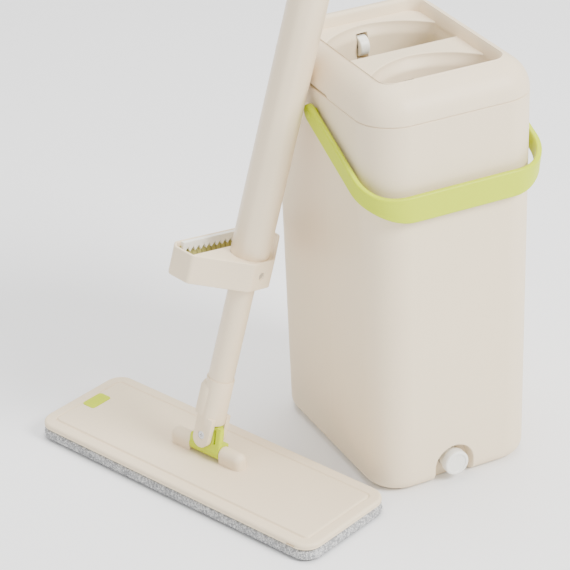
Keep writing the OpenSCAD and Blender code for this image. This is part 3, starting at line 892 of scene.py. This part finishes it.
def head_shell(sizes):
    """The head's plate: rings from the middle of its underside out to the skirt, up the side and over the
    top to the middle again.

    The edge is a quarter round. A narrow channel runs round the top where the inset is near 11 mm, the
    panel inside it stands a little higher, and a short slit is pressed into one edge.
    """
    top = 17.0
    skirt_z = 11.5
    half_l, half_w, corner = 163.5, 53.0, 16.0
    soft = 2.6
    turn = np.linspace(0, math.pi / 2, 9)
    side_z = np.linspace(skirt_z + 0.4, top - soft, 8)
    edge_in = soft * (1 - np.cos(turn))
    edge_z = top - soft + soft * np.sin(turn) - 0.45
    spans = ((3.2, 8.0, 6), (8.6, 14.5, 26), (16, 52.6, 12))
    top_in = np.concatenate([np.linspace(*span) for span in spans])
    channel = np.exp(-(((top_in - 11.3) / 0.85) ** 2))
    top_z = top - sizes.channel_depth * channel + 0.45 * smooth_step(11.3, 13.2, top_in) - 0.45
    under_in = np.array([52.6, 30.0, 12.0, 4.0, 2.4, 2.2, 2.2, 2.0, 0.6, 0.1])
    under_z = np.array([15.0, 15.0, 15.0, 15.0, 14.8, 14.0, skirt_z + 0.3, skirt_z, skirt_z, skirt_z + 0.2])
    inset = np.concatenate([under_in, 0 * side_z, edge_in, top_in])
    height = np.concatenate([under_z, side_z - 0.45 * (side_z - skirt_z) / (top - skirt_z), edge_z, top_z])
    radius = np.maximum(corner - inset, 0.2)
    share = np.linspace(0, 1, 720, endpoint=False)
    x, y = rounded_outline(half_l - inset, half_w - inset, radius, share)
    z = height[:, None] + 0 * x
    slit = (1 - smooth_step(3.6, 4.2, np.abs(x - 143.0))) * (y < -40) * ((z > 12.6) & (z < 13.8))
    y = y + 1.8 * slit
    return grid_shell(np.stack([x, y, z], axis=-1))


def housing_shell(start, side, at_y, axis_z):
    """One hinge housing: a barrel round the hinge pin on upright sides, carried along the head.

    Its radius falls like a quarter of an ellipse over the last few millimetres, and by a hair at the
    inner end.
    """
    base = 16.2
    barrel = 6.9
    length = 24.0
    tail = 6.0
    drawn = 5.2
    far = length - tail + tail * np.sin(np.linspace(0.1, math.pi / 2, 18))
    along = np.concatenate([[0.0, 0.15, 0.5, 1.0], np.linspace(2.5, length - tail, 6), far])
    ease = np.clip((along - (length - tail)) / tail, 0, 1)
    radius = barrel - drawn * (1 - np.sqrt(1 - ease**2)) - 0.5 * (1 - smooth_step(0, 1.0, along))
    angle = np.linspace(0, math.pi, 33)
    legs = np.linspace(0, 1, 6)[:-1]
    upper_y = radius[:, None] * np.cos(angle)
    upper_z = axis_z + radius[:, None] * np.sin(angle)
    right_z = base + (axis_z - base) * legs + 0 * upper_z[:, :1]
    y = np.concatenate([radius[:, None] + 0 * right_z, upper_y, -radius[:, None] + 0 * right_z], axis=1)
    z = np.concatenate([right_z, upper_z, right_z[:, ::-1]], axis=1)
    x = (start + side * along)[:, None] + 0 * y
    return grid_shell(np.stack([x, y + at_y, z], axis=-1))


def pad_shell(sizes):
    """The pad: a crowned cushion of loops in the head's outline, standing a little proud at its side.

    The side is half an ellipse, the underside is flat where it lies on the floor, and overlapping waves
    push each point in and out as the loops do.
    """
    half_l, half_w, corner = 162.6, 52.2, 15.0
    thick = 9.6
    turn = np.linspace(-math.pi / 2, math.pi / 2, 26)
    under = np.linspace(50, 5, 26)
    side_in = 1.6 - 2.6 * np.cos(turn)
    side_z = thick / 2 + thick / 2 * np.sin(turn)
    inset = np.concatenate([under, side_in, [6.0, 20.0, 50.0]])
    height = np.concatenate([0 * under, side_z, [thick, thick, thick]])
    share = np.linspace(0, 1, 1500, endpoint=False)
    x, y = rounded_outline(half_l - inset, half_w - inset, np.maximum(corner - inset, 1.0), share)
    z = height[:, None] + 0 * x
    ring = share[None, :] * 856
    waves = np.sin(ring * 2.1 + z * 0.9) * np.sin(z * 1.7 + ring * 0.35)
    waves = waves + 0.6 * np.sin(ring * 1.13 - z * 2.3 + 1.0) + 0.5 * np.sin(ring * 3.7 + z * 3.1)
    rows = np.arange(len(inset))[:, None]
    on_side = (rows >= len(under)) & (rows < len(under) + len(turn))
    side = on_side * np.cos(np.clip((z - 4.8) / 5.2, -1, 1) * 1.5)
    push = sizes.tuft * 0.42 * waves * side
    centre_x = np.clip(x, -(half_l - 20), half_l - 20)
    centre_y = np.clip(y, -(half_w - 20), half_w - 20)
    out = np.stack([x - centre_x, y - centre_y], axis=-1)
    out = out / np.maximum(np.linalg.norm(out, axis=-1, keepdims=True), 1e-6)
    x = x + out[..., 0] * push
    y = y + out[..., 1] * push
    return grid_shell(np.stack([x, y, z], axis=-1))


def loop_shell(start):
    """The scraper loop: a rounded wall section carried round a closed outline.

    The outline is narrow in front of the pole, widest beside it and straight behind it. The wall has a
    rolled upper lip and a small lower one, and a round dent for the screw in its narrow front.
    """
    height = 26.5
    thick = 2.5
    soft = 0.9
    screw_y = -3.0
    front = [(20.5, -15.5), (20.5, 10)]
    corners = front + [(-15, 56), (-36, 57), (-42.5, 50), (-42.5, -50), (-36, -57), (-15, -56)]
    path = blurred_outline(corners, 880, 4.0)
    normal = outline_normals(path)
    z = np.linspace(soft, height - soft, 46)
    turn = np.linspace(0, math.pi, 8)
    outer = np.stack([0 * z, z], axis=1)
    over = np.stack([-thick / 2 + thick / 2 * np.cos(turn), height - soft + soft * np.sin(turn)], axis=1)
    inner = np.stack([-thick + 0 * z[::5], z[::-5]], axis=1)
    under = np.stack([-thick / 2 - thick / 2 * np.cos(turn), soft - soft * np.sin(turn)], axis=1)
    section = np.vstack([outer, over[1:], inner[1:], under[1:-1]])
    plan = path[None] + normal[None] * section[:, 0][:, None, None]
    x = plan[..., 0]
    y = plan[..., 1]
    z_grid = section[:, 1][:, None] + 0 * x
    on_front = (np.arange(len(section)) < len(outer))[:, None] & (x > 15)
    dent = 1 - smooth_step(2.8, 3.4, np.hypot(y - screw_y, z_grid - height / 2))
    x = x - 2.3 * dent * on_front
    return grid_shell(np.stack([x, y, z_grid + start], axis=-1), joined=True)


def web_shell(start):
    """The plate that joins the sleeve to the loop's front and sides, just below the lip.

    Each ring runs along the plate's outline, and its partner along the sleeve in the same directions.
    """
    corners = [(19.3, -14.4), (19.3, 9.0), (-14.8, 54.4), (-17.6, 54.6), (-17.6, -54.6), (-14.8, -54.5)]
    outline = blurred_outline(corners, 480, 1.5)
    seen = np.arctan2(outline[:, 1], outline[:, 0])
    collar = 17.04 * np.stack([np.cos(seen), np.sin(seen)], axis=1)
    rings = np.array([collar, outline, outline, collar])
    level = start + np.array([22.8, 22.8, 25.3, 25.3])[:, None] + 0 * rings[..., 0]
    return grid_shell(np.concatenate([rings, level[..., None]], axis=-1), joined=True)


def softened_copy(name, node, slot, width):
    """A CAD node's own form with its seams welded, smooth shading and narrow rounded edges."""
    source = frame["nodes"][node]
    mesh = source.data.copy()
    mesh.name = name
    piece = bpy.data.objects.new(name, mesh)
    bpy.context.scene.collection.objects.link(piece)
    weld = piece.modifiers.new("weld", "WELD")
    weld.merge_threshold = 0.00001
    bevel = piece.modifiers.new("round", "BEVEL")
    bevel.width = width * MM
    bevel.segments = 3
    bevel.limit_method = "ANGLE"
    bevel.angle_limit = math.radians(35)
    bevel.harden_normals = False
    graph = bpy.context.evaluated_depsgraph_get()
    finished = bpy.data.meshes.new_from_object(piece.evaluated_get(graph))
    piece.modifiers.clear()
    piece.data = finished
    finished.name = name
    finished.polygons.foreach_set("use_smooth", np.ones(len(finished.polygons), bool))
    finished.set_sharp_from_angle(angle=math.radians(30))
    finished.materials.clear()
    finished.materials.append(FINISHES[slot])
    body = frame["nodes"][node]["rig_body"]
    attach(piece, body)
    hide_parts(node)
    return piece


# ---------------------------------------------------------------- operators


class MOP_OT_bucket(bpy.types.Operator):
    """Bucket wall with its arched drain pocket and pivot bosses"""

    bl_idname = "mop.bucket"
    bl_label = "Bucket"

    def execute(self, context):
        sizes = context.scene.mop_sizes
        shells = [bucket_shell(sizes)] + pivot_bosses()
        make_piece("bucket_wall", shells, "beige_plastic", "bucket", ["bucket_body"])
        return {"FINISHED"}


class MOP_OT_lid(bpy.types.Operator):
    """Lid with a rounded border, a sunk floor and two slots"""

    bl_idname = "mop.lid"
    bl_label = "Lid"

    def execute(self, context):
        split = -9.5
        front_z = sum(box[2] for box in box_mm("front_roller")) / 2
        rear_z = sum(box[2] for box in box_mm("rear_roller")) / 2
        shells = [
            lid_rim_shell(context.scene.mop_sizes),
            floor_half(-72.0, -21.0, -77.2, split, (front_z - 4.5, front_z + 9.4), 5.0),
            floor_half(2.0, 60.0, split, 73.2, (rear_z - 14.0, rear_z + 10.5), 3.0),
        ]
        make_piece("lid_moulding", shells, "beige_plastic", "lid", ["lid"])
        return {"FINISHED"}


class MOP_OT_rollers(bpy.types.Operator):
    """Guide rollers with rounded rims, turned about their axles"""

    bl_idname = "mop.rollers"
    bl_label = "Guide rollers"

    def execute(self, context):
        for node in ("rear_roller", "front_roller"):
            low, high = box_mm(node)
            middle = (low + high) / 2
            wide = (high[0] - low[0]) / 2
            radius = (high[2] - low[2]) / 2
            corners = [(2.06, -wide), (radius, -wide), (radius, wide), (2.06, wide)]
            points, faces = lathe(rounded_profile(corners, 1.4), 72)
            points = turned(points, (0, 1, 0), (0, 0, 1), (1, 0, 0), middle)
            make_piece(node + "_wheel", [(points, faces)], "ivory_plastic", node, [node])
        return {"FINISHED"}


class MOP_OT_plug(bpy.types.Operator):
    """Drain plug: a stepped knob with a raised rim round its face"""

    bl_idname = "mop.plug"
    bl_label = "Drain plug"

    def execute(self, context):
        seat = box_mm("drain_seal")[1][1]
        length = seat - PLUG_LOW[1]
        stem = PLUG_HIGH[1] - seat
        knob = 11.5
        sunk = length - 1.1
        proud = length - 0.1
        face = [(0.02, sunk), (knob - 3.4, sunk), (knob - 2.6, proud), (knob - 0.9, proud)]
        side = [(knob, length - 1.2), (knob, 9.4), (knob - 0.8, 8.6), (knob - 1.5, 8.0), (knob - 1.5, 2.4)]
        back = [(6.98, 2.4), (6.98, -stem + 0.05), (0.02, -stem + 0.05)]
        profile = rounded_profile((face + side + back)[::-1], 0.5, 4)
        points, faces = lathe(profile, 96)
        points = turned(points, (1, 0, 0), (0, 0, 1), (0, -1, 0), (PLUG_AT[0], seat, PLUG_AT[2]))
        if signed_volume(points, faces) < 0:
            faces = faces[:, ::-1]
        make_piece("drain_knob", [(points, faces)], "ivory_plastic", "plug", ["drain_plug"])
        return {"FINISHED"}


class MOP_OT_bail(bpy.types.Operator):
    """Lime carrying bail with its pins"""

    bl_idname = "mop.bail"
    bl_label = "Bail"

    def execute(self, context):
        make_piece("carry_bail", bail_shell(), "lime_plastic", "bail", ["bail"])
        return {"FINISHED"}


class MOP_OT_head(bpy.types.Operator):
    """Mop head plate with its two hinge housings"""

    bl_idname = "mop.head"
    bl_label = "Mop head"

    def execute(self, context):
        sizes = context.scene.mop_sizes
        gap = 17.5
        pin = np.array(joint("yoke_tilt")["pos_m"]) / MM - HEAD_AT
        along = float(pin @ HEAD_ALONG)
        across = float(pin @ HEAD_ACROSS)
        shells = [head_shell(sizes)]
        shells += [housing_shell(along + side * gap, side, across, pin[2]) for side in (-1, 1)]
        make_piece("head_top", shells, "beige_plastic", "mop_head", ["head_plate"], in_head)
        return {"FINISHED"}


class MOP_OT_pad(bpy.types.Operator):
    """Looped microfibre pad under the head"""

    bl_idname = "mop.pad"
    bl_label = "Pad"

    def execute(self, context):
        sizes = context.scene.mop_sizes
        pad = make_piece("mop_pad", [pad_shell(sizes)], "pad_fabric", "mop_head", ["pad"], in_head)
        return {"FINISHED"}


class MOP_OT_button(bpy.types.Operator):
    """Release button with a soft crown"""

    bl_idname = "mop.button"
    bl_label = "Release button"

    def execute(self, context):
        low_u, high_u = node_span("release_button", HEAD_AT, HEAD_ALONG)
        low_n, high_n = node_span("release_button", HEAD_AT, HEAD_ACROSS)
        half_u = (high_u - low_u) / 2
        half_n = (high_n - low_n) / 2
        inset = np.array([6.9, 4.0, 1.5, 0.5, 0.0, 0.0, 0.0, 0.25, 0.9, 2.2, 5.0, 6.9])
        height = np.array([15.5, 15.5, 15.5, 15.5, 15.6, 16.2, 17.0, 17.42, 17.6, 17.65, 17.7, 17.7])
        share = np.linspace(0, 1, 160, endpoint=False)
        x, y = rounded_outline(half_u - inset, half_n - inset, np.maximum(3.2 - inset, 0.1), share)
        x = x + (low_u + high_u) / 2
        y = y + (low_n + high_n) / 2
        points = np.stack([x, y, height[:, None] + 0 * x], axis=-1)
        shells = [grid_shell(points)]
        make_piece("release_cap", shells, "lime_plastic", "button", ["release_button"], in_head)
        return {"FINISHED"}


class MOP_OT_tubes(bpy.types.Operator):
    """Inner pole and outer sleeve"""

    bl_idname = "mop.tubes"
    bl_label = "Pole and sleeve"

    def execute(self, context):
        sizes = context.scene.mop_sizes
        bore = 10.5
        radius = 11.5
        low = 26.0
        high = 700.0
        inner = [
            (bore, low), (radius - 0.1, low), (radius, low + 0.4),
            (radius, high - 0.4), (radius - 0.1, high), (bore, high),
        ]
        make_piece("inner_tube", [lathe(inner, 96)], "beige_coated_tube", "pole", ["inner_pole"], in_pole)
        start, end = node_span("outer_sleeve", TUBE_AT, POLE_UP)
        outer = [(15.4, start), (16.6, start), (17.0, start + 0.5), (17.0, start + 40), (17.0, start + 300)]
        outer += [(17.0, end - 0.5), (16.7, end), (15.4, end)]
        shell = lathe(outer, 200, facets=sizes.facets, facet_depth=0.012)
        make_piece("outer_tube", [shell], "beige_coated_tube", "sleeve", ["outer_sleeve"], in_pole)
        return {"FINISHED"}


class MOP_OT_loop(bpy.types.Operator):
    """Scraper loop with its collar round the sleeve"""

    bl_idname = "mop.loop"
    bl_label = "Scraper loop"

    def execute(self, context):
        start = node_span("outer_sleeve", TUBE_AT, POLE_UP)[0]
        top = start + 23.5
        collar = [(17.02, start), (18.6, start), (19.2, start + 0.6), (19.2, top), (17.02, top)]
        shells = [loop_shell(start), web_shell(start), lathe(collar, 120)]
        make_piece("loop_wall", shells, "beige_plastic", "sleeve", ["scraper_loop"], in_pole)
        return {"FINISHED"}


class MOP_OT_fittings(bpy.types.Operator):
    """Fork, yoke, comb, cap and other small fittings, welded and with rounded edges"""

    bl_idname = "mop.fittings"
    bl_label = "Small fittings"

    def execute(self, context):
        softened_copy("fork_foot", "fork", "beige_plastic", 0.9)
        softened_copy("hinge_yoke", "yoke", "lime_plastic", 0.8)
        softened_copy("hang_cap_top", "hang_cap", "lime_plastic", 0.8)
        softened_copy("loop_comb", "comb_strip", "ivory_plastic", 0.3)
        softened_copy("loop_scraper", "scraper_insert", "olive_rubber", 0.4)
        softened_copy("slot_comb", "wash_comb", "lime_plastic", 0.3)
        softened_copy("slot_blade", "squeeze_blade", "grey_rubber", 0.3)
        softened_copy("hand_grip", "grip", "grey_rubber", 0.9)
        softened_copy("divider_wall", "bucket_divider", "beige_plastic", 0.5)
        return {"FINISHED"}


class MOP_OT_finish_nodes(bpy.types.Operator):
    """Gives every CAD node that stays visible its slot's finish"""

    bl_idname = "mop.finish_nodes"
    bl_label = "Carried-over nodes"

    def execute(self, context):
        slots = {s["node"]: s["material_slot"] for s in frame["record"]["subparts"]}
        for name, node in frame["nodes"].items():
            if node.hide_render:
                continue
            node.data.materials.clear()
            node.data.materials.append(FINISHES[slots[name]])
        return {"FINISHED"}


class MOP_OT_stage(bpy.types.Operator):
    """Pale floor and sweep, soft studio lights and the camera"""

    bl_idname = "mop.stage"
    bl_label = "Stage"

    def execute(self, context):
        scene = context.scene
        along = np.linspace(-6, 6, 40)
        run = np.linspace(-6, 6, 60)
        rise = np.maximum(run - 3.0, 0) ** 2 * 0.6
        x, y = np.meshgrid(along, run)
        z = np.repeat(rise[:, None], len(along), axis=1) - 0.0005
        points = np.stack([x, y, z], axis=-1).reshape(-1, 3)
        index = np.arange(len(points)).reshape(len(run), len(along))
        corners = [index[:-1, :-1], index[:-1, 1:], index[1:, 1:], index[1:, :-1]]
        faces = np.stack(corners, axis=-1).reshape(-1, 4)
        mesh = bpy.data.meshes.new("studio_floor")
        mesh.from_pydata(points.tolist(), [], faces.tolist())
        mesh.polygons.foreach_set("use_smooth", np.ones(len(faces), bool))
        mesh.materials.append(backdrop_paint("studio_sheet"))
        floor = bpy.data.objects.new("studio_floor", mesh)
        scene.collection.objects.link(floor)

        world = bpy.data.worlds.new("studio_air")
        world.use_nodes = True
        air = world.node_tree.nodes["Background"]
        air.inputs["Color"].default_value = (1.0, 1.0, 1.0, 1.0)
        air.inputs["Strength"].default_value = 1.0
        scene.world = world
        lights = (
            ("key_light", (1.3, -2.2, 2.2), 1.3, 165.0),
            ("fill_light", (-2.2, -1.2, 1.6), 1.8, 10.0),
            ("top_light", (0.1, 0.4, 2.8), 1.8, 75.0),
        )
        target = np.array([-0.08, 0.0, 0.2])
        for name, place, size, power in lights:
            light = bpy.data.lights.new(name, "AREA")
            light.shape = "DISK"
            light.size = size
            light.energy = power
            lamp = bpy.data.objects.new(name, light)
            scene.collection.objects.link(lamp)
            back = unit(np.array(place) - target)
            right = unit(np.cross((0, 0, 1), back))
            lamp.matrix_world = pose_matrix(right, np.cross(back, right), back, place)

        turn = math.radians(-26.38)
        pitch = math.radians(28.81)
        roll = math.radians(-1.78)
        back = np.array([
            math.sin(turn) * math.cos(pitch), -math.cos(turn) * math.cos(pitch), math.sin(pitch)
        ])
        flat = np.array([math.cos(turn), math.sin(turn), 0.0])
        upright = np.cross(back, flat)
        right = flat * math.cos(roll) + upright * math.sin(roll)
        up = upright * math.cos(roll) - flat * math.sin(roll)
        lens = bpy.data.cameras.new("view_camera")
        lens.sensor_width = 36.0
        lens.lens = 146.8
        lens.shift_x = -0.070
        lens.shift_y = -0.007
        lens.clip_end = 60.0
        camera = bpy.data.objects.new("view_camera", lens)
        scene.collection.objects.link(camera)
        camera.matrix_world = pose_matrix(right, up, back, (-0.8596, -1.5785, 1.1390))
        scene.camera = camera
        return {"FINISHED"}


def pose_matrix(right, up, back, place):
    """A transform whose columns are the three axes and the place."""
    columns = np.array([right, up, back, place], float).T
    return Matrix([list(columns[0]), list(columns[1]), list(columns[2]), [0, 0, 0, 1]])


OPERATORS = (
    MOP_OT_bucket,
    MOP_OT_lid,
    MOP_OT_rollers,
    MOP_OT_plug,
    MOP_OT_bail,
    MOP_OT_head,
    MOP_OT_pad,
    MOP_OT_button,
    MOP_OT_tubes,
    MOP_OT_loop,
    MOP_OT_fittings,
    MOP_OT_finish_nodes,
    MOP_OT_stage,
)


class MOP_PT_panel(bpy.types.Panel):
    """Lists the builders in the sidebar"""

    bl_idname = "MOP_PT_panel"
    bl_label = "Flat mop and bucket"
    bl_space_type = "VIEW_3D"
    bl_region_type = "UI"
    bl_category = "Mop"

    def draw(self, context):
        column = self.layout.column()
        for operator in OPERATORS:
            column.operator(operator.bl_idname)


CLASSES = (MopSizes, MopColours) + OPERATORS + (MOP_PT_panel,)


def register():
    """Registers the classes and hangs the settings on the scene."""
    for cls in CLASSES:
        bpy.utils.register_class(cls)
    bpy.types.Scene.mop_sizes = bpy.props.PointerProperty(type=MopSizes)
    bpy.types.Scene.mop_colours = bpy.props.PointerProperty(type=MopColours)


def unregister():
    """Takes the settings and classes away again."""
    del bpy.types.Scene.mop_colours
    del bpy.types.Scene.mop_sizes
    for cls in reversed(CLASSES):
        bpy.utils.unregister_class(cls)


def main():
    """Builds every piece in order."""
    register()
    make_finishes(bpy.context.scene.mop_colours)
    for operator in OPERATORS:
        group, name = operator.bl_idname.split(".")
        getattr(getattr(bpy.ops, group), name)()


if __name__ == "__main__":
    main()
